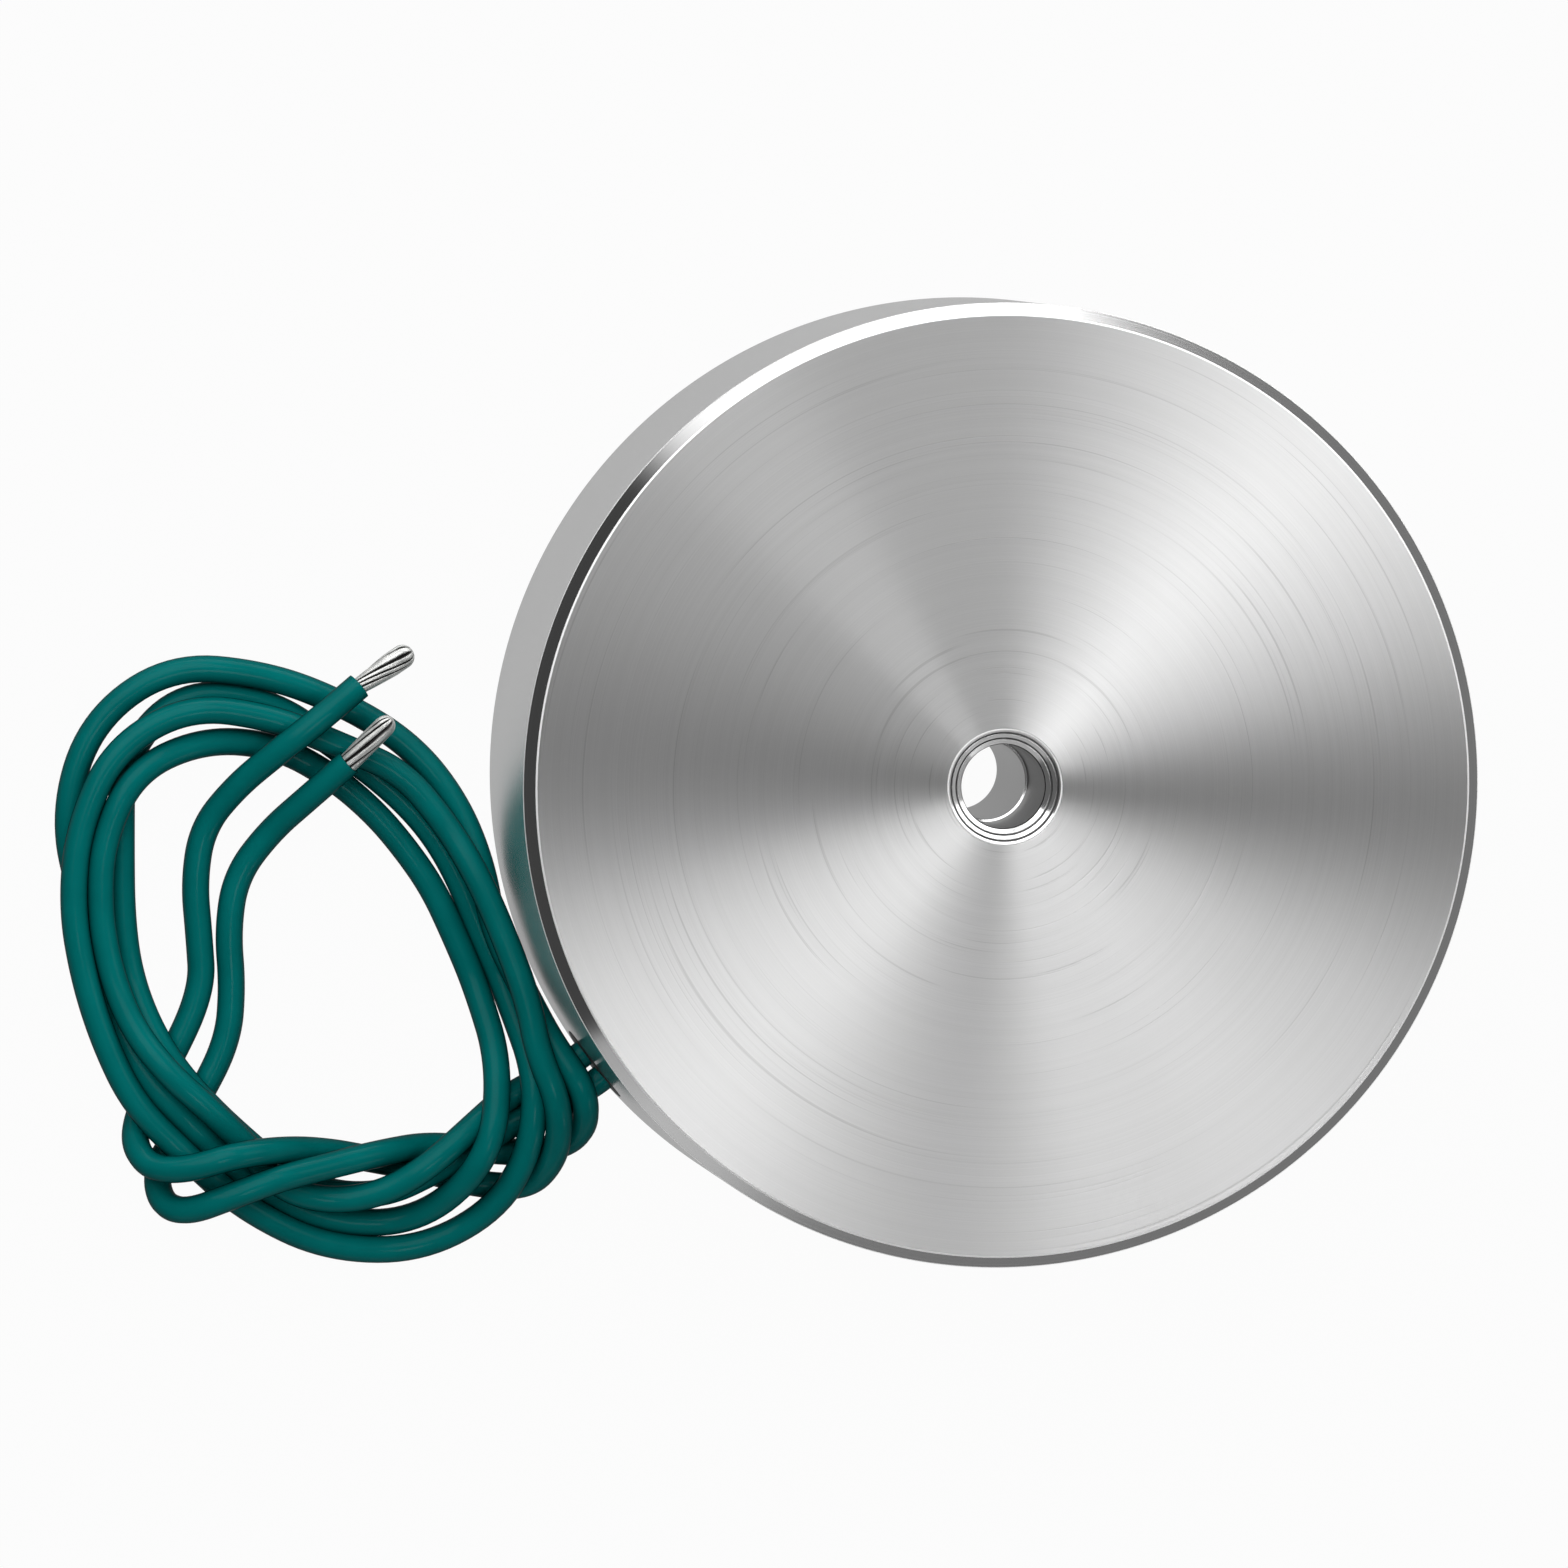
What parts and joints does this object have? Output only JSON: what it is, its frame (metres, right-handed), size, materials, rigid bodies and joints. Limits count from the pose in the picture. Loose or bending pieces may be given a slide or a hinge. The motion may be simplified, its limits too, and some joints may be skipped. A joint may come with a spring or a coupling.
{
  "type": "holding electromagnet",
  "caption": "Round flat holding electromagnet: turned steel pot with a through bore, potted pole face and a loosely coiled pair of insulated flying leads with stripped stranded ends.",
  "frame": {"origin": "on the pot's axis, in the plane of the pole face", "axes": "+Z along the through bore, from the pole face to the mounting face; the leads leave the wall towards -X and -Y"},
  "size_m": [0.1161, 0.0824, 0.025],
  "materials": {
    "turned_steel": "face turned with fine concentric lines, polished rim",
    "pole_steel": "turned, with bright rings round the bore",
    "bobbin_plastic": "moulded, satin",
    "enamelled_copper": "enamelled, glossy",
    "tape": "thin film, satin",
    "resin": "cast, nearly glossy",
    "grommet_rubber": "matt black",
    "lead_insulation": "extruded, glossy dark teal",
    "tinned_strands": "tinned, bright",
    "soldered_joint": "tinned",
    "sleeve": "shrunk sleeve, satin"
  },
  "bodies": {
    "root": {"pot_shell": "turned_steel", "centre_pole": "pole_steel", "coil_bobbin": "bobbin_plastic", "copper_winding": "enamelled_copper", "winding_tape": "tape", "potting_resin": "resin", "lead_grommet": "grommet_rubber", "lead_coil": "lead_insulation", "lead_a_root": "lead_insulation", "lead_b_root": "lead_insulation", "lead_a_tail": "lead_insulation", "lead_b_tail": "lead_insulation", "lead_a_strands": "tinned_strands", "lead_b_strands": "tinned_strands", "splice_a": "soldered_joint", "splice_b": "soldered_joint", "splice_sleeve_a": "sleeve", "splice_sleeve_b": "sleeve", "winding_start_tail": "enamelled_copper", "winding_finish_tail": "enamelled_copper"}
  },
  "joints": []
}
